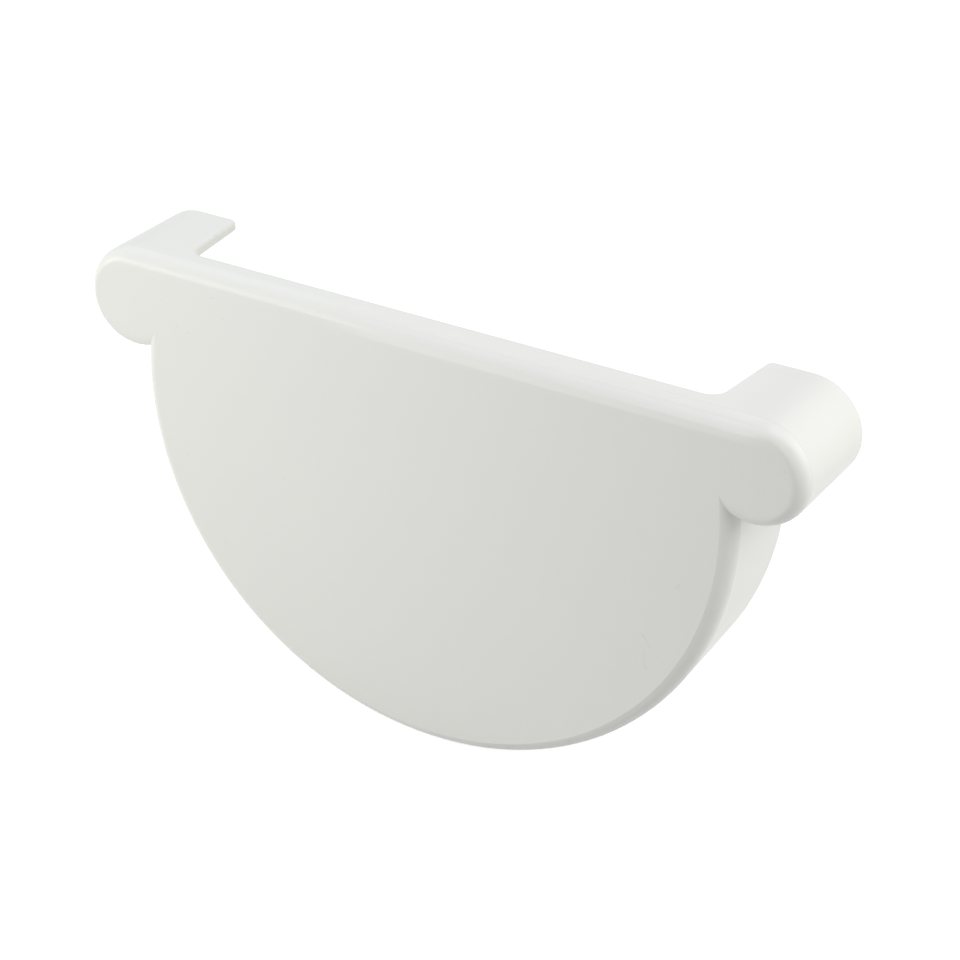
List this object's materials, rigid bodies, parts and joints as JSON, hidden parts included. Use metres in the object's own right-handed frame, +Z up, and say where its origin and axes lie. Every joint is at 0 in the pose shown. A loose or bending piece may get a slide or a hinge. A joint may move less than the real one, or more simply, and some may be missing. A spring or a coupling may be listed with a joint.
{
  "type": "gutter end cap",
  "caption": "Half-round gutter end cap: flat face with a rounded edge, a skirt that takes the gutter's end and a hook over the bead at each upper corner.",
  "frame": {"origin": "on the axis of the gutter's half-round, on the socket floor that the gutter's end butts against", "axes": "+X across the face, +Y along the gutter away from the face, +Z up"},
  "size_m": [0.1574, 0.0247, 0.0898],
  "materials": {
    "white_pvc": "satin white moulded PVC"
  },
  "bodies": {
    "root": {"end_cap": "white_pvc"}
  },
  "joints": []
}
